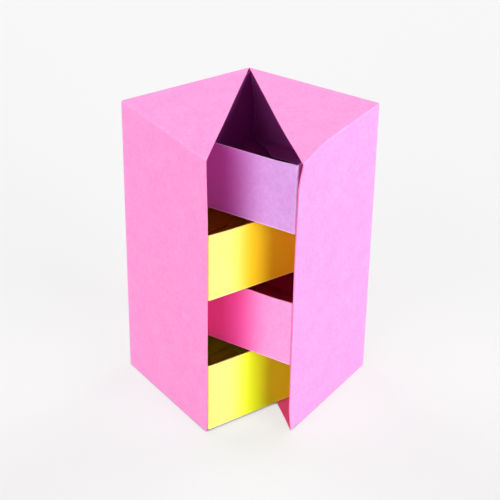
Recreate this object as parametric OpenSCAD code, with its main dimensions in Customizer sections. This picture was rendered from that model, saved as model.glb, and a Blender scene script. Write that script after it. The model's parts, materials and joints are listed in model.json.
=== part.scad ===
// Hinged card box: a square column split along its diagonal into two covers that swing apart on the back corner,
// with four square trays fixed in turn to the right and to the left cover.
// Millimetres, +Z up, the opening faces -Y, and the origin is under the middle of the half-open box.

/* [Box] */
// Outer side of the square plan, along each wall
side = 70; // [50:1:120]
// Height over the top and bottom panels
height = 143; // [120:1:240]
// Angle between the two covers as the box stands, 0 is shut
rest_opening = 22; // [0:0.1:60]

/* [Covers] */
// Thickness of the cover card
cover_card = 0.5; // [0.3:0.05:0.8]
// Outer radius of the fold between a cover's two walls
cover_fold_r = 1; // [0.9:0.1:3]
// Width of the glue tabs inside the top and bottom panels
tab_w = 8; // [4:0.5:15]
// Distance of a glue tab from the ends of its wall
tab_inset = 4; // [3:0.5:10]

/* [Trays] */
// Thickness of the tray card
tray_card = 0.5; // [0.3:0.05:0.7]
// Outer radius of the folds at a tray's corners
tray_fold_r = 1.2; // [0.8:0.1:3]
// Height of the bottom tray, which is a little deeper than the three above it
bottom_tray_h = 35.8; // [25:0.1:45]
// Width of the flaps that glue a tray's walls to its floor
flap_w = 18; // [6:0.5:20]
// Distance of a floor flap's root from the tray's corners
flap_inset = 2; // [1:0.5:6]
// Length by which each end of a flap's free edge falls short of its root
flap_taper = 19.5; // [18:0.5:20]
// Width of the lap that closes a tray's wall band
lap_w = 10; // [5:0.5:20]
// Distance of the lap's end below the tray's rim
lap_drop = 1; // [0.5:0.5:5]

/* [Hinge] */
// Thickness of the hinge strip
strip_card = 0.3; // [0.2:0.05:0.4]
// Width of each leaf of the hinge strip, from the back corner
leaf_w = 12; // [6:0.5:30]
// Radius of the rolled crease along the back corner
crease_r = 0.8; // [0.6:0.1:1.5]

/* [Clearances] */
// Gap between the two covers along the diagonal when the box is shut
seam_gap = 0.4; // [0.2:0.05:1]
// Gap between a tray and the back wall of the cover that it swings into
hinge_gap = 2.9; // [1:0.1:5]
// Gap between a tray and the front wall of the cover that it swings into
front_gap = 0.3; // [0.3:0.05:2]
// Gap between the glue tab on the bottom panel and the bottom tray
foot_gap = 0.4; // [0.2:0.05:1]
// Gap between a tray's rim and the floor of the tray above it
slip_gap = 1.1; // [0.3:0.05:2]
// Gap between the top tray's rim and the glue tab under the top panel
head_gap = 1.9; // [0.3:0.05:4]
// Gap between the rolled crease and the pieces that turn round it
crease_gap = 0.15; // [0.1:0.01:0.3]

/* [Hidden] */

$fn = 64;
cover_pink = [0.99, 0.63, 0.88];
lilac = [0.87, 0.63, 0.89];
warm_yellow = [1, 0.97, 0.45];
tray_pink = [0.99, 0.62, 0.87];
lemon = [0.98, 0.99, 0.4];

// Levels of the trays, counted up from the bottom
bottom_level = 0;
third_level = 1;
second_level = 2;
top_level = 3;
tray_count = 4;

// A tab or flap is rooted this far into its wall, so that the two are one sheet
cover_root = cover_card / 2;
tray_root = tray_card / 2;

// Each cover stops this far short of the diagonal, measured along a wall
seam_inset = seam_gap / sqrt(2);
half_opening = rest_opening / 2;

// The hinge axis stands on the back corner, as far behind the origin as the front edges lie before it
front_reach = side * cos(45 + half_opening) + (side - seam_inset) * cos(45 - half_opening);
hinge_y = (front_reach - crease_r) / 2;

// A tray is glued to both walls of its own cover and clears both walls of the other one
tray_w = side - 2 * cover_card - hinge_gap;
tray_d = side - 2 * cover_card - front_gap;

// The stack of trays fills the height between the glue tabs
tray_base = 2 * cover_card + foot_gap;
tray_top = height - 2 * cover_card - head_gap;
upper_trays = tray_count - 1;
tray_h = (tray_top - tray_base - bottom_tray_h - upper_trays * slip_gap) / upper_trays;

function tray_height(level) = level == bottom_level ? bottom_tray_h : tray_h;

function tray_z(level) = level == bottom_level
    ? tray_base
    : tray_top - tray_h - (top_level - level) * (tray_h + slip_gap);

// One half's frame: origin on the hinge axis, X along the back wall, Y towards the other half's back wall
module left_half() {
    translate([0, hinge_y, 0]) rotate([0, 0, -135 - half_opening]) children();
}

module right_half() {
    translate([0, hinge_y, 0]) rotate([0, 0, -45 + half_opening]) mirror([0, 1, 0]) children();
}

// Quarter turn of material outside a fold of radius r, whose centre is at the origin and corner towards +X -Y
module fold_waste(r) {
    difference() {
        translate([0, -2 * r]) square(2 * r);
        circle(r);
    }
}

// Outline of a cover: the half of the square behind the diagonal, folded round at the outer corner
module cover_plan() {
    difference() {
        polygon([[seam_inset, 0], [side, 0], [side, side - seam_inset]]);
        translate([side - cover_fold_r, cover_fold_r]) fold_waste(cover_fold_r);
    }
}

// Room inside a cover's two walls, left open across the diagonal
module cavity_plan() {
    difference() {
        translate([-cover_card, cover_card]) square([side, side]);
        translate([side - cover_fold_r, cover_fold_r]) fold_waste(cover_fold_r - cover_card);
    }
}

// Glue tab along the back wall, with mitred ends
module tab_plan() {
    far = side - tab_inset;
    polygon([
        [tab_inset, cover_root],
        [far, cover_root],
        [far - tab_w, cover_card + tab_w],
        [tab_inset + tab_w, cover_card + tab_w]
    ]);
}

module crease(r) {
    cylinder(r = r, h = height);
}

// Two walls, top and bottom in one folded sheet, with a glue tab inside each panel
module cover() {
    difference() {
        linear_extrude(height) cover_plan();
        translate([0, 0, cover_card]) linear_extrude(height - 2 * cover_card) cavity_plan();
        crease(crease_r + crease_gap);
    }
    for (z = [cover_card, height - 2 * cover_card]) {
        translate([0, 0, z]) linear_extrude(cover_card) tab_plan();
    }
}

// Leaf of the hinge strip on the outside of the back wall
module leaf(start) {
    translate([start, -strip_card, 0]) cube([leaf_w - start, strip_card, height]);
}

// Rectangle with rounded corners, from its corner at the origin
module rounded_rectangle(w, d, r) {
    translate([r, 0]) square([w - 2 * r, d]);
    translate([0, r]) square([w, d - 2 * r]);
    for (x = [r, w - r], y = [r, d - r]) {
        translate([x, y]) circle(r);
    }
}

module in_tray(level) {
    translate([cover_card + hinge_gap, cover_card, tray_z(level)]) children();
}

// Floor flap of a wall along X, narrower towards its free edge
module flap_plan(wall) {
    far = wall - flap_inset;
    polygon([
        [flap_inset, tray_root],
        [far, tray_root],
        [far - flap_taper, tray_card + flap_w],
        [flap_inset + flap_taper, tray_card + flap_w]
    ]);
}

module all_flaps() {
    flap_plan(tray_w);
    translate([tray_w, tray_d]) rotate(180) flap_plan(tray_w);
    translate([tray_w, 0]) rotate(90) flap_plan(tray_d);
    translate([0, tray_d]) rotate(-90) flap_plan(tray_d);
}

// Four walls in one folded band, lapped inside the outer back corner, with a flap from each wall on the floor
module tray_band(level) {
    wall_h = tray_height(level) - tray_card;
    in_tray(level) translate([0, 0, tray_card]) {
        linear_extrude(wall_h) difference() {
            rounded_rectangle(tray_w, tray_d, tray_fold_r);
            translate([tray_card, tray_card]) {
                rounded_rectangle(tray_w - 2 * tray_card, tray_d - 2 * tray_card, tray_fold_r - tray_card);
            }
        }
        linear_extrude(tray_card) all_flaps();
        translate([tray_w - tray_fold_r - lap_w, tray_root, 0]) {
            cube([lap_w, 2 * tray_card - tray_root, wall_h - lap_drop]);
        }
    }
}

// Floor glued under the flaps and the walls' lower edge
module tray_floor(level) {
    in_tray(level) linear_extrude(tray_card) rounded_rectangle(tray_w, tray_d, tray_fold_r);
}

module left_cover() { color(cover_pink) left_half() cover(); }

module right_cover() { color(cover_pink) right_half() cover(); }

// The left leaf carries the rolled crease
module hinge_strip_left() {
    color(cover_pink) left_half() {
        crease(crease_r);
        leaf(0);
    }
}

module hinge_strip_right() { color(cover_pink) right_half() leaf(crease_r + crease_gap); }

module top_tray_band() { color(lilac) right_half() tray_band(top_level); }

module top_tray_floor() { color(lilac) right_half() tray_floor(top_level); }

module second_tray_band() { color(warm_yellow) left_half() tray_band(second_level); }

module second_tray_floor() { color(warm_yellow) left_half() tray_floor(second_level); }

module third_tray_band() { color(tray_pink) right_half() tray_band(third_level); }

module third_tray_floor() { color(tray_pink) right_half() tray_floor(third_level); }

module bottom_tray_band() { color(lemon) left_half() tray_band(bottom_level); }

module bottom_tray_floor() { color(lemon) left_half() tray_floor(bottom_level); }

left_cover();
right_cover();
hinge_strip_left();
hinge_strip_right();
top_tray_band();
top_tray_floor();
second_tray_band();
second_tray_floor();
third_tray_band();
third_tray_floor();
bottom_tray_band();
bottom_tray_floor();
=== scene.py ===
"""Looks of a hinged card box: two folded covers, a creased hinge strip and four square trays.

Every piece is a sheet of card: a grid of points on its outer face, an inner face one thickness behind it
along the normals, and narrow strips that close the cut edges. Metres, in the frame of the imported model.
"""
import json
import math

import bmesh
import bpy
import numpy as np
from mathutils import Matrix, Vector


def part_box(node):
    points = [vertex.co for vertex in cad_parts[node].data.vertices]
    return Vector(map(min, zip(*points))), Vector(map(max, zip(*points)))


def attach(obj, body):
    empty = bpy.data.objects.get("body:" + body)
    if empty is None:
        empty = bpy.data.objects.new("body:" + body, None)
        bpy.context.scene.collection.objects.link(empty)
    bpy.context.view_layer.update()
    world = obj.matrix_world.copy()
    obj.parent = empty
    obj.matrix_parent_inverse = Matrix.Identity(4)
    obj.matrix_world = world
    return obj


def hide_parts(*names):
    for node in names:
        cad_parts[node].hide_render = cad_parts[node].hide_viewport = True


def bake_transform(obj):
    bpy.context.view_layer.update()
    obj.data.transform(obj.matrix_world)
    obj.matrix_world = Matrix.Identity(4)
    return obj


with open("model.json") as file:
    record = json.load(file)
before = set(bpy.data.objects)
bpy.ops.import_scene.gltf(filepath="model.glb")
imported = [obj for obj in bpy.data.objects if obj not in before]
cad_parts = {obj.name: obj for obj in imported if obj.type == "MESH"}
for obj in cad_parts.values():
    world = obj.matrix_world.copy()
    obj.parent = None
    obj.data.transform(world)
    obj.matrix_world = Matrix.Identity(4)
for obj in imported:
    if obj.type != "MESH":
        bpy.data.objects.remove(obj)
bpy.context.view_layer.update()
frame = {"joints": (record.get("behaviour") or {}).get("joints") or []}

MM = 0.001

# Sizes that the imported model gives
hinge = frame["joints"][0]
HINGE_Y = hinge["pos_m"][1]
HALF_OPENING = math.radians(-hinge["range_deg"][0]) / 2
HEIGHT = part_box("left_cover")[1].z
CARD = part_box("top_tray_floor")[1].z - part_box("top_tray_floor")[0].z

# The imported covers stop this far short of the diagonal, along a wall, and the sheets' cut edges this far
SEAM_INSET = 0.4 * MM / math.sqrt(2)
CUT_INSET = 0.1 * MM

# Folds and glue tabs of the covers
COVER_FOLD_R = 1.0 * MM
PANEL_FOLD_R = 0.55 * MM
TAB_W = 8 * MM
TAB_INSET = 4 * MM

# Hinge strip: its leaves, the rolled crease, and the stretch of a leaf that swells up to the crease
STRIP_CARD = 0.3 * MM
LEAF_W = 12 * MM
CREASE_R = 0.8 * MM
SWELL_W = 3 * MM
SWELL_END = 0.4 * MM
# Its ends are trimmed back, by more on the leaves than at the crease, with a step of this length between
CREASE_TRIM = 0.7 * MM
LEAF_TRIM = 0.8 * MM
TRIM_STEP = 1.0 * MM
# Distance from the hinge axis over which the crease is worn
CREASE_WEAR = 1.5 * MM

# Trays: gaps to the other half's walls in the shut box, corner folds, floor flaps, and the lap that closes
# the wall band
HINGE_GAP = 2.9 * MM
FRONT_GAP = 0.3 * MM
TRAY_FOLD_R = 1.2 * MM
FLAP_W = 18 * MM
FLAP_INSET = 2 * MM
FLAP_TAPER = 19.5 * MM
LAP_W = 10 * MM
LAP_DROP = 1 * MM
# Rows of points lie closer within this distance of a wall band's foot and rim
BAND_EDGE = 1 * MM

# Points of one piece that lie closer than this are one point, as at the tips of a cover's panels
WELD = 0.001 * MM
# Edges that turn by more than this look sharp
SHARP_TURN = math.radians(40)

# The hand-made box strays from a true one: lean of each cover's outer corner, at its foot and at its head
CORNER_LEAN = {
    "left": np.array([(0.0, -1.4, 0), (-0.7, 0.6, 0)]) * MM,
    "right": np.array([(1.0, -1.2, 0), (0.6, 0.0, 0)]) * MM,
}
# A cover's free edge bows outwards, over this length from the top and past this share of the front wall
EDGE_BOW = 0.8 * MM
BOW_LENGTH = {"left": 35 * MM, "right": 60 * MM}
BOW_ROOT = 0.5
# The tip of the right cover's free edge also curls outwards and sags, over this length from the top and
# past this share of the front wall, from which the foot bends too
TIP_CURL = {"left": 0.0, "right": 1.7 * MM}
TIP_SAG = {"left": 0.0, "right": 0.9 * MM}
CURL_LENGTH = 13 * MM
TIP_ROOT = 5 / 7
# The foot of a free edge is clipped and lifted a little
FOOT_CLIP = {"left": 0.5 * MM, "right": 1.7 * MM}
FOOT_LIFT = {"left": 0.3 * MM, "right": 0.6 * MM}
FOOT_LENGTH = 12 * MM

# A tray droops at its far corner, which nothing holds
TRAY_DROOP = {"top": 0.9 * MM, "second": 0.9 * MM, "third": 0.8 * MM, "bottom": 0.35 * MM}
# What bends a rim reaches down to this share of the wall's height
RIM_ROOT = 0.5
# The front rim dips, fully from this far along it, and past this share of the tray's depth
RIM_DIP = {"top": 0.6 * MM, "second": 0.35 * MM, "third": 0.6 * MM, "bottom": 0.3 * MM}
DIP_LENGTH = 12 * MM
DIP_ROOT = 0.75
# Round its hinge corner the top tray's rim rises, and reaches towards the hinge
RIM_RISE = {"top": 1.9 * MM, "second": 0.0, "third": 0.0, "bottom": 0.0}
RISE_LENGTH = 35 * MM
CORNER_REACH = {"top": 2.0 * MM, "second": 0.0, "third": 0.0, "bottom": 0.0}
REACH_LENGTH = 20 * MM
# A tray's front corner stands this far off its cover's front wall
STAND_OFF = {"top": 0.0, "second": 0.4 * MM, "third": 0.2 * MM, "bottom": 0.5 * MM}
# Floor flaps spring up at their free edge, and the back wall's flap by its own amount
FLAP_SPRING = 0.3 * MM
BACK_FLAP_SPRING = {"top": 3.5 * MM, "second": 0.3 * MM, "third": 1.0 * MM, "bottom": 0.3 * MM}

# Shade is painted on each tray: none round its front corner up to the start, then more and more over the
# length, along its front wall. Distance back from that wall counts as many times over as the turn gives
PAINTED_SHADE_START = {"top": 13 * MM, "second": 9 * MM, "third": 8 * MM, "bottom": 10 * MM}
PAINTED_SHADE_LENGTH = {"top": 24 * MM, "second": 15 * MM, "third": 24 * MM, "bottom": 15 * MM}
PAINTED_SHADE_TURN = 20
# A cut edge keeps its full edge colour where no shade is painted, and falls off to this share under painted
# shade
CUT_EDGE_LEAST = 0.3
CUT_EDGE_FALL = 3

# The front edges lie this far before the hinge axis, which gives the side of the square plan
front_reach = HINGE_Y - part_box("left_cover")[0].y
lean_cos = math.cos(math.pi / 4 + HALF_OPENING)
face_cos = math.cos(math.pi / 4 - HALF_OPENING)
SIDE = (front_reach + SEAM_INSET * face_cos) / (lean_cos + face_cos)
TRAY_W = SIDE - 2 * CARD - HINGE_GAP
TRAY_D = SIDE - 2 * CARD - FRONT_GAP

# Scales of the card's noise, in cycles per metre, and the range that most of a noise lies in
GRAIN_SCALE = 620
MOTTLE_SCALE = 110
WEAR_SCALE = 500
FELT_SCALE = 1500
NOISE_LOW = 0.3
NOISE_HIGH = 0.7
# Swings of the uneven dye about its middle, and the powers that give its deepest and lightest tone
GRAIN_SWING = 0.38
MOTTLE_SWING = 0.14
DEEP_POWER = 1.15
LIGHT_POWER = 0.87
# Most wear on a fold, and the strength and height of the felt-like grain
FOLD_WEAR = 0.3
FELT_STRENGTH = 0.3
FELT_HEIGHT = 0.05 * MM

# Photograph's camera, fitted to the box's corners in its 500 by 500 frame
FRAME_PX = 500
FOCAL_PX = 1457
VIEW_AZIMUTH = math.radians(-1.49)
VIEW_ELEVATION = math.radians(30.62)
VIEW_ROLL = math.radians(1.07)
VIEW_DISTANCE = 0.6862
VIEW_TARGET = Vector((0.0007, 0.0, 0.07067))
SENSOR_MM = 36
NEAR_CLIP = 0.01

# Soft lights: name, azimuth from the front towards +X, elevation and spread in degrees, and strength
SOFTBOXES = (
    ("right_softbox", 48, 9, 50, 4.5),
    ("left_softbox", -41, 15, 54, 2.7),
    ("right_back_softbox", 132, 25, 50, 2.1),
    ("left_back_softbox", -132, 25, 50, 2.1),
)
# Surround: its tone to the eye and its strength as a light
PALE = 0.913
DIM_LIGHT = 0.04
# Floor: its even glow to the eye and the glow's share, its board's tone, and its tone to bounced light
FLOOR_GLOW = 0.955
GLOW_SHARE = 0.72
BOARD_TONE = 0.80
BOUNCE_TONE = 0.3
# Half of the floor's width, and its drop under the box
FLOOR_REACH = 3.0
FLOOR_DROP = 0.05 * MM
# Painted contact shade: within this reach of the box the glow falls to this tone, between these two shares
# of open sky
CONTACT_REACH = 4 * MM
CONTACT_TONE = 0.02
CONTACT_SHUT = 0.1
CONTACT_OPEN = 0.45


def smooth(t):
    """Smooth step from 0 to 1, with flat ends."""
    t = np.clip(t, 0, 1)
    return t * t * (3 - 2 * t)


def past(root, share):
    """Smooth step from 0 at the root to 1 at the end, for a place given as a share of a length."""
    return smooth((share - root) / (1 - root))


def half_frame(half):
    """A half's own axes in the model's frame, as rows: along its back wall, to the other half, and up."""
    if half == "left":
        turn = math.radians(-135) - HALF_OPENING
        across = (-math.sin(turn), math.cos(turn), 0)
    else:
        turn = math.radians(-45) + HALF_OPENING
        across = (math.sin(turn), -math.cos(turn), 0)
    along = (math.cos(turn), math.sin(turn), 0)
    return np.array([along, across, (0, 0, 1)])


def place(half, points, normals):
    """Points and normals of one half's frame, carried to the model's frame, with the outer corner's lean.

    The lean changes evenly from foot to head, and fades evenly along both walls to the hinge and to the
    free edge.
    """
    axes = half_frame(half)
    foot, head = CORNER_LEAN[half]
    share = np.clip(points[..., 0] / SIDE, 0, 1) * np.clip(1 - points[..., 1] / SIDE, 0, 1)
    lean = share[..., None] * (foot + (head - foot) * points[..., 2:] / HEIGHT)
    return points @ axes + np.array([0, HINGE_Y, 0]) + lean, normals @ axes


def bend_free_edge(half, points):
    """A cover's points with the bow, the tip and the foot of its free edge.

    Each is a distance times a smooth step along the front wall and another down from the top or up from
    the foot.
    """
    along = points[..., 1] / SIDE
    depth = HEIGHT - points[..., 2]
    bow = past(BOW_ROOT, along) * smooth(1 - depth / BOW_LENGTH[half])
    tip = past(TIP_ROOT, along) * smooth(1 - depth / CURL_LENGTH)
    foot = past(TIP_ROOT, along) * smooth(1 - points[..., 2] / FOOT_LENGTH)
    bent = points.copy()
    bent[..., 0] += EDGE_BOW * bow + TIP_CURL[half] * tip
    bent[..., 1] -= FOOT_CLIP[half] * foot
    bent[..., 2] += FOOT_LIFT[half] * foot - TIP_SAG[half] * tip
    return bent


def settle_tray(level, points, height):
    """A tray's points, from its hinge corner, with its droop, its bent rim and its corner's stand-off.

    The droop is a product of even slopes towards the far corner; the others are distances times smooth
    steps, up the wall for the rim and along the plan for all.
    """
    x, y, z = np.moveaxis(points, -1, 0)
    free = np.clip(1 - x / TRAY_W, 0, 1) * np.clip(y / TRAY_D, 0, 1)
    rim = past(RIM_ROOT, z / height)
    dip = rim * past(DIP_ROOT, y / TRAY_D) * smooth((TRAY_W - x) / DIP_LENGTH)
    from_hinge = np.hypot(x, y)
    rise = rim * smooth(1 - from_hinge / RISE_LENGTH)
    reach = rim * smooth(1 - from_hinge / REACH_LENGTH)
    off = np.clip(x / TRAY_W, 0, 1) * smooth(y / TRAY_D)
    settled = points.copy()
    settled[..., 0] -= STAND_OFF[level] * off + CORNER_REACH[level] * reach
    settled[..., 2] += RIM_RISE[level] * rise - RIM_DIP[level] * dip - TRAY_DROOP[level] * free
    return settled


def painted_shade_at(level, points):
    """Share of painted shade that a tray has at each point: a smooth step from the unshaded front corner
    onwards.
    """
    from_corner = (TRAY_W - points[..., 0]) + PAINTED_SHADE_TURN * (TRAY_D - points[..., 1])
    return smooth((from_corner - PAINTED_SHADE_START[level]) / PAINTED_SHADE_LENGTH[level])


def grid_quads(rows, cols, wrap):
    """Corner numbers of a grid's quads, row by row; wrap joins the last column to the first."""
    i, j = np.meshgrid(np.arange(rows - 1), np.arange(cols if wrap else cols - 1), indexing="ij")
    right = (j + 1) % cols
    quads = np.stack([i * cols + j, i * cols + right, (i + 1) * cols + right, (i + 1) * cols + j], -1)
    return quads.reshape(-1, 4)


def border_edges(rows, cols, wrap):
    """Pairs of corner numbers along a grid's free edges, in the direction in which its quads run."""
    first = np.arange(cols)
    last = (rows - 1) * cols + first
    if wrap:
        edges = [np.stack([first, np.roll(first, -1)], -1), np.stack([np.roll(last, -1), last], -1)]
        return np.concatenate(edges)
    down = np.arange(rows) * cols
    loop = np.concatenate([first[:-1], (down + cols - 1)[:-1], last[:0:-1], down[:0:-1]])
    return np.stack([loop, np.roll(loop, -1)], -1)


def card_sheet(points, normals, thickness, fold=0.0, painted_shade=0.0, wrap=False):
    """A sheet of card: vertices, faces, face weights (cut, inside) and vertex weights (fold, painted
    shade).

    The inner face is the outer one moved back by the thickness along the normals, and each free edge of
    the grid is closed by a strip of quads between the two. The quads are turned round if they face
    against the normals.
    """
    rows, cols = points.shape[:2]
    count = rows * cols
    outer = points.reshape(-1, 3)
    out = normals.reshape(-1, 3)
    inner = outer - thickness * out
    quads = grid_quads(rows, cols, wrap)
    edges = border_edges(rows, cols, wrap)
    rim = np.stack([edges[:, 1], edges[:, 0], edges[:, 0] + count, edges[:, 1] + count], -1)
    faces = np.concatenate([quads, quads[:, ::-1] + count, rim])
    corners = outer[quads]
    facing = np.cross(corners[:, 2] - corners[:, 0], corners[:, 3] - corners[:, 1])
    if np.sum(facing * out[quads[:, 0]]) < 0:
        faces = faces[:, ::-1]
    fold = np.broadcast_to(fold, (rows, cols)).ravel()
    painted_shade = np.broadcast_to(painted_shade, (rows, cols)).ravel()
    # Cut edges are dimmed under the painted shade and keep their full edge colour where none is painted
    unshaded = 1 - painted_shade[edges].mean(1)
    cut_edge = CUT_EDGE_LEAST + (1 - CUT_EDGE_LEAST) * unshaded ** CUT_EDGE_FALL
    cut = np.concatenate([np.zeros(2 * len(quads)), cut_edge])
    # Inner faces are marked, and the material paints them in the darker colour of painted shade
    inside = np.concatenate([np.zeros(len(quads)), np.ones(len(quads)), np.zeros(len(rim))])
    return np.concatenate([outer, inner]), faces, cut, inside, np.tile(fold, 2), np.tile(painted_shade, 2)


def card_piece(name, sheets, material):
    """One mesh object from several sheets, with their weights as attributes that the material reads."""
    starts = np.cumsum([0] + [len(s[0]) for s in sheets[:-1]])
    vertices = np.concatenate([s[0] for s in sheets])
    faces = np.concatenate([s[1] + start for s, start in zip(sheets, starts)])
    mesh = bpy.data.meshes.new(name)
    mesh.from_pydata(vertices.tolist(), [], faces.tolist())
    weights = (("cut", "FACE"), ("inside", "FACE"), ("fold", "POINT"), ("painted_shade", "POINT"))
    for column, (key, domain) in enumerate(weights, start=2):
        values = np.concatenate([s[column] for s in sheets])
        mesh.attributes.new(key, "FLOAT", domain).data.foreach_set("value", values)
    shape = bmesh.new()
    shape.from_mesh(mesh)
    bmesh.ops.remove_doubles(shape, verts=shape.verts, dist=WELD)
    shape.to_mesh(mesh)
    shape.free()
    mesh.shade_smooth()
    mesh.set_sharp_from_angle(angle=SHARP_TURN)
    mesh.materials.append(material)
    piece = bpy.data.objects.new(name, mesh)
    bpy.context.scene.collection.objects.link(piece)
    return piece


def fill_between(stops, counts):
    """Values running through the stops, with so many even steps between each pair."""
    parts = [np.linspace(a, b, n, endpoint=False) for a, b, n in zip(stops, stops[1:], counts)]
    return np.concatenate(parts + [[stops[-1]]])


def cover_path(inset, steps_wall=26, steps_fold=8):
    """Plan points and normals of a cover's walls, moved in by the inset: back wall, round fold, front wall.

    The walls are straight lines and the fold is a quarter circle. The ends stop at the diagonal seam, and
    at the back corner also clear of the rolled crease.
    """
    seam = CUT_INSET + np.maximum(CARD, inset)
    clear = np.sqrt(np.maximum((CREASE_R - STRIP_CARD) ** 2 - inset ** 2, 0))
    start = np.maximum(seam, clear)
    back_share = fill_between([0, 1], [steps_wall])[:-1]
    turn = fill_between([0, math.pi / 2], [steps_fold])
    front_share = fill_between([0, 1], [steps_wall])[1:]
    bend = COVER_FOLD_R - inset
    centre_x = SIDE - COVER_FOLD_R
    centre_y = COVER_FOLD_R
    x = np.concatenate([
        start + (centre_x - start) * back_share,
        centre_x + bend * np.sin(turn),
        np.full(steps_wall, SIDE - inset),
    ])
    y = np.concatenate([
        np.full(steps_wall, inset),
        centre_y - bend * np.cos(turn),
        centre_y + (SIDE - seam - centre_y) * front_share,
    ])
    angle = np.concatenate([np.zeros(steps_wall), turn, np.full(steps_wall, math.pi / 2)])
    return np.stack([x, y], -1), np.stack([np.sin(angle), -np.cos(angle)], -1)


def cover_shell(near_fold=0.08, wear_columns=4, level_normal=0.5):
    """Grid of a cover: each column runs from the diagonal over the top panel, down the wall and back under.

    A panel is ruled between its folded edge and the foot of the perpendicular on the diagonal, with closer
    rows near the fold. The folds are quarter circles whose inset grows from 0 to the fold's radius. The
    corner between the walls is worn by a bell curve across so many columns, where the normals are level.
    """
    r = PANEL_FOLD_R
    panel = fill_between([1, near_fold, 0], [14, 2])[:-1]
    arc = fill_between([math.pi / 2, 0], [6])
    inner_path, _ = cover_path(r)
    total = inner_path.sum(1)
    diagonal = np.stack([(total + CUT_INSET) / 2, (total - CUT_INSET) / 2], -1)
    flat = np.zeros_like(inner_path)
    rows, normals, fold = [], [], []

    def add(plan, z, out, up, weight):
        """One row of the grid: a plan path at one height, with its normals and its wear."""
        rows.append(np.concatenate([plan, np.full((len(plan), 1), z)], 1))
        normals.append(np.concatenate([out, np.full((len(plan), 1), up)], 1))
        fold.append(weight)

    for share in panel:
        add(inner_path + (diagonal - inner_path) * share, HEIGHT, flat, 1, 0)
    for a in arc:
        path, out = cover_path(r * (1 - math.cos(a)))
        add(path, HEIGHT - r * (1 - math.sin(a)), out * math.cos(a), math.sin(a), math.sin(2 * a))
    path, out = cover_path(0)
    for z in fill_between([HEIGHT - r, HEIGHT - 3 * r, 3 * r, r], [2, 24, 2])[1:-1]:
        add(path, z, out, 0, 0)
    for a in arc[::-1]:
        path, out = cover_path(r * (1 - math.cos(a)))
        add(path, r * (1 - math.sin(a)), out * math.cos(a), -math.sin(a), math.sin(2 * a))
    for share in panel[::-1]:
        add(inner_path + (diagonal - inner_path) * share, 0, flat, -1, 0)
    normals = np.array(normals)
    columns = np.arange(len(path)) - len(path) // 2
    corner = np.exp(-(columns / wear_columns) ** 2) * (np.abs(normals[..., 2]) < level_normal)
    return np.array(rows), normals, np.maximum(np.array(fold)[:, None], corner)


def trapezium(length, inset, width, taper, rows, cols):
    """Grid of a flap with slanted ends, in its own plane: x along its root, y out to its free edge."""
    v = np.linspace(0, 1, rows)
    u = np.linspace(0, 1, cols)
    low = inset + taper * v
    high = length - inset - taper * v
    x = low[:, None] + (high - low)[:, None] * u[None, :]
    y = np.broadcast_to((width * v)[:, None], x.shape)
    return x, y


def cover_sheets(half):
    """A cover's folded shell and the glue tabs inside its top and bottom panels."""
    points, normals, fold = cover_shell()
    sheets = [card_sheet(*place(half, bend_free_edge(half, points), normals), CARD, fold)]
    x, y = trapezium(SIDE, TAB_INSET, TAB_W, TAB_W, rows=6, cols=20)
    for z, up in ((2 * CARD, 1), (HEIGHT - 2 * CARD, -1)):
        tab = np.stack([x, y + CARD, np.full_like(x, z)], -1)
        facing = np.broadcast_to(np.array([0, 0, up]), tab.shape)
        sheets.append(card_sheet(*place(half, tab, facing), CARD))
    return sheets


def rounded_rectangle(width, depth, radius, steps_wall=20, steps_fold=8):
    """Closed plan path and normals of a rectangle with its corner at the origin, turning left.

    The corners are quarter circles, joined by straight lines in even steps.
    """
    turn = np.linspace(0, math.pi / 2, steps_fold + 1)
    angles = np.concatenate([turn + k * math.pi / 2 for k in range(4)]) - math.pi / 2
    far = np.array([width - radius, depth - radius])
    centres = np.array([(far[0], radius), far, (radius, far[1]), (radius, radius)])
    out = np.stack([np.cos(angles), np.sin(angles)], -1)
    bends = np.repeat(centres, steps_fold + 1, 0) + radius * out
    bends = bends.reshape(4, steps_fold + 1, 2)
    out = out.reshape(4, steps_fold + 1, 2)
    share = np.linspace(0, 1, steps_wall, endpoint=False)[1:, None]
    path, normals = [], []
    for k in range(4):
        a, b = bends[k, -1], bends[(k + 1) % 4, 0]
        path += [bends[k], a + (b - a) * share]
        normals += [out[k], np.broadcast_to(out[k, -1], (len(share), 2))]
    return np.concatenate(path), np.concatenate(normals)


def tray_place(points, floor_z):
    """Moves tray points from the tray's own corner into the half's frame."""
    return points + np.array([CARD + HINGE_GAP, CARD, floor_z])


def floor_flaps(level):
    """Grids of the four flaps on a tray's floor, one from the foot of each wall, turned by right angles.

    Each flap's height over the floor grows by a smooth step from its root to its sprung free edge.
    """
    corners = np.array([(0, 0), (TRAY_W, 0), (TRAY_W, TRAY_D), (0, TRAY_D)])
    flaps = []
    for k, corner in enumerate(corners):
        x, y = trapezium((TRAY_W, TRAY_D)[k % 2], FLAP_INSET, FLAP_W, FLAP_TAPER, rows=8, cols=24)
        rise = FLAP_SPRING if k else BACK_FLAP_SPRING[level]
        spring = rise * smooth(y / FLAP_W)
        along = np.array([math.cos(k * math.pi / 2), math.sin(k * math.pi / 2)])
        inward = np.array([-along[1], along[0]])
        plan = corner + x[..., None] * along + (y + CARD)[..., None] * inward
        flaps.append(np.concatenate([plan, (2 * CARD + spring)[..., None]], -1))
    return flaps


def tray_sheet(level, half, floor_z, height, points, normals, fold=0.0, wrap=False):
    """A sheet of a tray, from points and normals in the tray's own frame."""
    normals = np.broadcast_to(normals, points.shape)
    settled = tray_place(settle_tray(level, points, height), floor_z)
    # The sheet carries its share of painted shade, which grows away from the tray's front corner
    return card_sheet(*place(half, settled, normals), CARD, fold, painted_shade_at(level, points), wrap)


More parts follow.
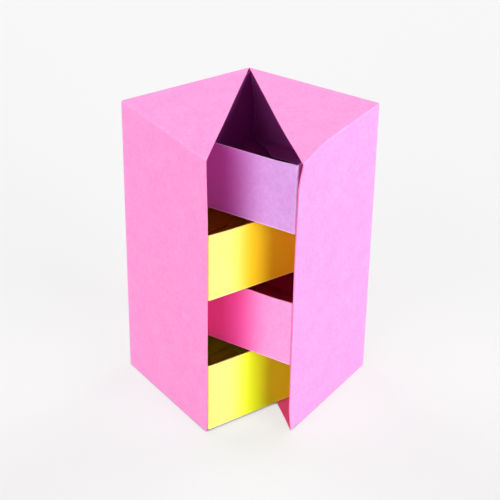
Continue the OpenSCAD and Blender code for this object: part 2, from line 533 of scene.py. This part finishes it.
def tray_band_sheets(level, half, floor_z, height):
    """A tray's wall band, the lap that closes it and the four flaps on its floor.

    The band is the plan path carried straight up, and the lap is a flat grid against the back wall.
    """
    path, out = rounded_rectangle(TRAY_W, TRAY_D, TRAY_FOLD_R)
    z = fill_between([CARD, CARD + BAND_EDGE, height - BAND_EDGE, height], [2, 10, 2])
    cols = len(path)
    points = np.concatenate([
        np.broadcast_to(path[None], (len(z), cols, 2)),
        np.broadcast_to(z[:, None, None], (len(z), cols, 1)),
    ], 2)
    normals = np.concatenate([out, np.zeros((cols, 1))], 1)[None]
    bend = np.abs(out[:, 0] * out[:, 1]) * 2
    sheets = [tray_sheet(level, half, floor_z, height, points, normals, bend[None, :], wrap=True)]
    for flap in floor_flaps(level):
        sheets.append(tray_sheet(level, half, floor_z, height, flap, np.array([0, 0, 1.0])))
    lap_end = TRAY_W - TRAY_FOLD_R
    lap_x, lap_z = np.meshgrid(
        np.linspace(lap_end - LAP_W, lap_end, 8),
        np.linspace(2 * CARD, height - LAP_DROP, 14))
    lap = np.stack([lap_x, np.full_like(lap_x, 2 * CARD), lap_z], -1)
    sheets.append(tray_sheet(level, half, floor_z, height, lap, np.array([0, 1.0, 0])))
    return sheets


def tray_floor_sheets(level, half, floor_z, height):
    """A tray's floor in rows across it: near a corner a row's ends draw in along the corner's arc."""
    turn = np.linspace(0, math.pi / 2, 9)
    rise = TRAY_FOLD_R * (1 - np.cos(turn))
    draw_in = TRAY_FOLD_R * (1 - np.sin(turn))
    straight = np.linspace(TRAY_FOLD_R, TRAY_D - TRAY_FOLD_R, 22)[1:-1]
    y = np.concatenate([rise, straight, TRAY_D - rise[::-1]])
    inset = np.concatenate([draw_in, np.zeros_like(straight), draw_in[::-1]])
    x = inset[:, None] + (TRAY_W - 2 * inset)[:, None] * np.linspace(0, 1, 24)
    points = np.stack([x, np.broadcast_to(y[:, None], x.shape), np.full_like(x, CARD)], -1)
    return [tray_sheet(level, half, floor_z, height, points, np.array([0, 0, 1.0]))]


def hinge_strip_sheets(end_share=0.01):
    """The hinge strip, across the back corner: a flat leaf on each back wall and a rolled crease between.

    Towards the corner each leaf swells by a smooth step from the wall to the crease's radius, and the
    crease is an arc about the hinge axis from one leaf's normal to the other's. Rows lie closer in the
    end share at the foot and the head, and the ends are trimmed back.
    """
    leaf = fill_between([LEAF_W, SWELL_W, SWELL_END, 0], [8, 8, 2])[:-1]
    height = STRIP_CARD + (CREASE_R - STRIP_CARD) * smooth(1 - leaf / SWELL_W)
    left, right = half_frame("left"), half_frame("right")
    left_leaf = leaf[:, None] * left[0] - height[:, None] * left[1]
    right_leaf = leaf[:, None] * right[0] - height[:, None] * right[1]
    start = math.atan2(-left[1][1], -left[1][0])
    end = math.atan2(-right[1][1], -right[1][0])
    turn = np.linspace(start, end, 15)
    arc_out = np.stack([np.cos(turn), np.sin(turn), np.zeros_like(turn)], -1)
    path = np.concatenate([left_leaf, CREASE_R * arc_out, right_leaf[::-1]])
    out = np.concatenate([
        np.broadcast_to(-left[1], left_leaf.shape),
        arc_out,
        np.broadcast_to(-right[1], right_leaf.shape),
    ])
    from_axis = np.hypot(path[:, 0], path[:, 1])
    crease = np.exp(-(from_axis / CREASE_WEAR) ** 2)
    trim = CREASE_TRIM + LEAF_TRIM * smooth((from_axis - CREASE_R) / TRIM_STEP)
    share = fill_between([0, end_share, 1 - end_share, 1], [1, 40, 1])
    z = trim[None, :] + (HEIGHT - 2 * trim)[None, :] * share[:, None]
    plan = np.broadcast_to((path + np.array([0, HINGE_Y, 0]))[None, :, :2], z.shape + (2,))
    points = np.concatenate([plan, z[..., None]], -1)
    normals = np.broadcast_to(out[None], points.shape)
    return [card_sheet(points, normals, STRIP_CARD, crease[None, :])]


def card_material(name, colour, painted_shade_colour, worn, cut_edge):
    """Uncoated card coloured with uneven dye at two scales under a felt-like grain.

    Inner faces and the trays' far stretches take a darker colour as painted shade, folds wear to the worn
    one,
    and cut edges take their edge colour: partly the card's own edge, partly painted highlight and shade.
    """
    material = bpy.data.materials.new(name)
    material.use_nodes = True
    nodes, links = material.node_tree.nodes, material.node_tree.links
    shader = nodes["Principled BSDF"]
    shader.inputs["Roughness"].default_value = 0.7
    shader.inputs["IOR"].default_value = 1.45
    shader.inputs["Specular IOR Level"].default_value = 0.35
    coords = nodes.new("ShaderNodeTexCoord")

    def noise(scale, detail, roughness=0.5):
        """Noise in the piece's own coordinates."""
        node = nodes.new("ShaderNodeTexNoise")
        node.inputs["Scale"].default_value = scale
        node.inputs["Detail"].default_value = detail
        node.inputs["Roughness"].default_value = roughness
        links.new(coords.outputs["Object"], node.inputs["Vector"])
        return node.outputs["Fac"]

    def ramp(value, low, high):
        """A noise's usual range, stretched evenly to run from low to high."""
        node = nodes.new("ShaderNodeMapRange")
        node.inputs["From Min"].default_value = NOISE_LOW
        node.inputs["From Max"].default_value = NOISE_HIGH
        node.inputs["To Min"].default_value = low
        node.inputs["To Max"].default_value = high
        links.new(value, node.inputs["Value"])
        return node.outputs["Result"]

    def combine(kind, first, second):
        """Two values joined by one step of arithmetic."""
        node = nodes.new("ShaderNodeMath")
        node.operation = kind
        links.new(first, node.inputs[0])
        links.new(second, node.inputs[1])
        return node.outputs[0]

    def attribute(key):
        """A weight that the piece's mesh carries."""
        node = nodes.new("ShaderNodeAttribute")
        node.attribute_name = key
        return node.outputs["Fac"]

    def mix(share, first, second):
        """The second colour over the first by the share; each is a plain colour or another node's."""
        node = nodes.new("ShaderNodeMix")
        node.data_type = "RGBA"
        links.new(share, node.inputs[0])
        for socket, value in ((node.inputs[6], first), (node.inputs[7], second)):
            if isinstance(value, tuple):
                socket.default_value = (*value, 1)
            else:
                links.new(value, socket)
        return node.outputs[2]

    deepest = tuple(c ** DEEP_POWER for c in colour)
    lightest = tuple(c ** LIGHT_POWER for c in colour)
    grain = ramp(noise(GRAIN_SCALE, 3.5, 0.62), -GRAIN_SWING, GRAIN_SWING)
    mottle = ramp(noise(MOTTLE_SCALE, 3), 0.5 - MOTTLE_SWING, 0.5 + MOTTLE_SWING)
    uneven = mix(combine("ADD", grain, mottle), deepest, lightest)
    # Painted shade: inner faces and the trays' far stretches take the darker shade colour over the dye
    dye_and_shade = mix(combine("MAXIMUM", attribute("painted_shade"), attribute("inside")), uneven, painted_shade_colour)
    wear = combine("MULTIPLY", attribute("fold"), ramp(noise(WEAR_SCALE, 3), 0.0, FOLD_WEAR))
    # Cut edges take their edge colour: partly the card's own edge, partly painted highlight, and on the
    # covers painted shade
    whole = mix(attribute("cut"), mix(wear, dye_and_shade, worn), cut_edge)
    links.new(whole, shader.inputs["Base Color"])
    felt = nodes.new("ShaderNodeBump")
    felt.inputs["Strength"].default_value = FELT_STRENGTH
    felt.inputs["Distance"].default_value = FELT_HEIGHT
    links.new(noise(FELT_SCALE, 3, 0.6), felt.inputs["Height"])
    links.new(felt.outputs["Normal"], shader.inputs["Normal"])
    return material


# Each card: its own colour, the darker colour of painted shade, the worn colour of folds, and the edge
# colour, partly painted highlight and shade
pink_card = card_material(
    "pink_dyed_card", (0.97, 0.315, 0.67), painted_shade_colour=(0.99, 0.13, 0.43),
    worn=(1.0, 0.55, 0.86), cut_edge=(0.95, 0.22, 0.54))
lilac_card = card_material(
    "lilac_dyed_card", (0.66, 0.32, 0.74), painted_shade_colour=(0.44, 0.075, 0.40),
    worn=(0.92, 0.66, 0.93), cut_edge=(0.78, 0.48, 0.84))
yellow_card = card_material(
    "yellow_dyed_card", (0.98, 0.82, 0.20), painted_shade_colour=(1.0, 0.64, 0.008),
    worn=(1.0, 0.92, 0.45), cut_edge=(1.0, 0.88, 0.35))
rose_card = card_material(
    "rose_dyed_card", (0.97, 0.34, 0.72), painted_shade_colour=(1.0, 0.085, 0.43),
    worn=(1.0, 0.60, 0.88), cut_edge=(1.0, 0.45, 0.80))
lemon_card = card_material(
    "lemon_dyed_card", (0.88, 0.92, 0.20), painted_shade_colour=(0.82, 0.95, 0.008),
    worn=(1.0, 0.95, 0.45), cut_edge=(0.92, 0.93, 0.35))


def fit(piece, body, slot, *nodes):
    """A finished piece rides on its body and stands for its CAD nodes."""
    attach(piece, body)
    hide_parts(*nodes)


for half in ("left", "right"):
    cover = card_piece(f"{half}_cover_card", cover_sheets(half), pink_card)
    fit(cover, f"{half}_half", "pink_card", f"{half}_cover")

# Trays from the top: level, the half that holds it, material slot and card
TRAYS = (
    ("top", "right", "lilac_card", lilac_card),
    ("second", "left", "yellow_card", yellow_card),
    ("third", "right", "rose_card", rose_card),
    ("bottom", "left", "lemon_card", lemon_card),
)
for level, half, slot, card in TRAYS:
    floor_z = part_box(f"{level}_tray_floor")[0].z
    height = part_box(f"{level}_tray_band")[1].z - floor_z
    band = card_piece(f"{level}_tray_walls", tray_band_sheets(level, half, floor_z, height), card)
    fit(band, f"{half}_half", slot, f"{level}_tray_band")
    base = card_piece(f"{level}_tray_base", tray_floor_sheets(level, half, floor_z, height), card)
    fit(base, f"{half}_half", slot, f"{level}_tray_floor")

strip = card_piece("hinge_strip_card", hinge_strip_sheets(), pink_card)
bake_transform(strip)
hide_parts("hinge_strip_left", "hinge_strip_right")


def seen_directly(nodes, links):
    """1 where the eye sees a surface straight, in a mirror or through glass, and 0 for bounced light."""
    path = nodes.new("ShaderNodeLightPath")
    seen = path.outputs["Is Camera Ray"]
    for kind in ("Is Glossy Ray", "Is Transmission Ray"):
        either = nodes.new("ShaderNodeMath")
        either.operation = "MAXIMUM"
        links.new(seen, either.inputs[0])
        links.new(path.outputs[kind], either.inputs[1])
        seen = either.outputs[0]
    return seen


def floor_material():
    """Pale board: to the eye an even glow over a board that takes the shadow, to bounced light a mid grey.

    Close to the box the glow is darkened into a painted contact shade, by the share of open sky above each
    point of the floor.
    """
    material = bpy.data.materials.new("pale_floor")
    material.use_nodes = True
    nodes, links = material.node_tree.nodes, material.node_tree.links
    nodes.remove(nodes["Principled BSDF"])

    def matt(tone):
        """A plain matt surface of one grey tone."""
        node = nodes.new("ShaderNodeBsdfDiffuse")
        node.inputs["Color"].default_value = (tone, tone, tone, 1)
        return node.outputs[0]

    # Painted contact shade: the glow darkens where the box shuts out the open sky
    sky = nodes.new("ShaderNodeAmbientOcclusion")
    sky.inputs["Distance"].default_value = CONTACT_REACH
    sky.inputs["Color"].default_value = (1, 1, 1, 1)
    tone = nodes.new("ShaderNodeMapRange")
    tone.inputs["From Min"].default_value = CONTACT_SHUT
    tone.inputs["From Max"].default_value = CONTACT_OPEN
    tone.inputs["To Min"].default_value = CONTACT_TONE
    tone.inputs["To Max"].default_value = FLOOR_GLOW
    links.new(sky.outputs["AO"], tone.inputs["Value"])
    glow = nodes.new("ShaderNodeEmission")
    links.new(tone.outputs["Result"], glow.inputs["Color"])
    seen = nodes.new("ShaderNodeMixShader")
    seen.inputs["Fac"].default_value = GLOW_SHARE
    links.new(matt(BOARD_TONE), seen.inputs[1])
    links.new(glow.outputs[0], seen.inputs[2])
    whole = nodes.new("ShaderNodeMixShader")
    links.new(seen_directly(nodes, links), whole.inputs["Fac"])
    links.new(matt(BOUNCE_TONE), whole.inputs[1])
    links.new(seen.outputs[0], whole.inputs[2])
    links.new(whole.outputs[0], nodes["Material Output"].inputs["Surface"])
    return material


def studio_floor():
    """A wide pale floor just under the box."""
    mesh = bpy.data.meshes.new("studio_floor")
    corners = [
        (-FLOOR_REACH, -FLOOR_REACH, -FLOOR_DROP),
        (FLOOR_REACH, -FLOOR_REACH, -FLOOR_DROP),
        (FLOOR_REACH, FLOOR_REACH, -FLOOR_DROP),
        (-FLOOR_REACH, FLOOR_REACH, -FLOOR_DROP),
    ]
    mesh.from_pydata(corners, [], [(0, 1, 2, 3)])
    mesh.materials.append(floor_material())
    floor = bpy.data.objects.new("studio_floor", mesh)
    bpy.context.scene.collection.objects.link(floor)


def surround():
    """An even surround: pale to the eye, dim as a light."""
    world = bpy.data.worlds.new("pale_surround")
    world.use_nodes = True
    nodes, links = world.node_tree.nodes, world.node_tree.links
    dim = nodes["Background"]
    dim.inputs["Strength"].default_value = DIM_LIGHT
    dim.inputs["Color"].default_value = (1, 1, 1, 1)
    pale = nodes.new("ShaderNodeBackground")
    pale.inputs["Color"].default_value = (PALE, PALE, PALE, 1)
    whole = nodes.new("ShaderNodeMixShader")
    links.new(seen_directly(nodes, links), whole.inputs["Fac"])
    links.new(dim.outputs[0], whole.inputs[1])
    links.new(pale.outputs[0], whole.inputs[2])
    links.new(whole.outputs[0], nodes["World Output"].inputs["Surface"])
    bpy.context.scene.world = world


def softbox(name, azimuth, elevation, spread, strength):
    """A soft distant light from that side of the box."""
    a, e = math.radians(azimuth), math.radians(elevation)
    back = Vector((math.sin(a) * math.cos(e), -math.cos(a) * math.cos(e), math.sin(e)))
    lamp = bpy.data.lights.new(name, "SUN")
    lamp.energy = strength
    lamp.angle = math.radians(spread)
    light = bpy.data.objects.new(name, lamp)
    light.rotation_mode = "QUATERNION"
    light.rotation_quaternion = back.to_track_quat("Z", "Y")
    bpy.context.scene.collection.objects.link(light)


def studio():
    """Soft lights from the front corners, weaker ones from behind, and an even pale surround."""
    studio_floor()
    surround()
    for box in SOFTBOXES:
        softbox(*box)
    bpy.context.scene.view_settings.view_transform = "Standard"


def photo_camera():
    """The photograph's viewpoint: back from the target by two angles, then rolled about the sight line."""
    back = Vector((
        math.sin(VIEW_AZIMUTH) * math.cos(VIEW_ELEVATION),
        -math.cos(VIEW_AZIMUTH) * math.cos(VIEW_ELEVATION),
        math.sin(VIEW_ELEVATION),
    ))
    right = (-back).cross(Vector((0, 0, 1))).normalized()
    up = right.cross(-back)
    rolled_right = right * math.cos(VIEW_ROLL) + up * math.sin(VIEW_ROLL)
    rolled_up = up * math.cos(VIEW_ROLL) - right * math.sin(VIEW_ROLL)
    lens = bpy.data.cameras.new("photo_camera")
    lens.sensor_width = SENSOR_MM
    lens.lens = FOCAL_PX * SENSOR_MM / FRAME_PX
    lens.clip_start = NEAR_CLIP
    camera = bpy.data.objects.new("photo_camera", lens)
    turn = Matrix((rolled_right, rolled_up, back)).transposed()
    camera.rotation_mode = "QUATERNION"
    camera.rotation_quaternion = turn.to_quaternion()
    camera.location = VIEW_TARGET + VIEW_DISTANCE * back
    bpy.context.scene.collection.objects.link(camera)
    bpy.context.scene.camera = camera


studio()
photo_camera()
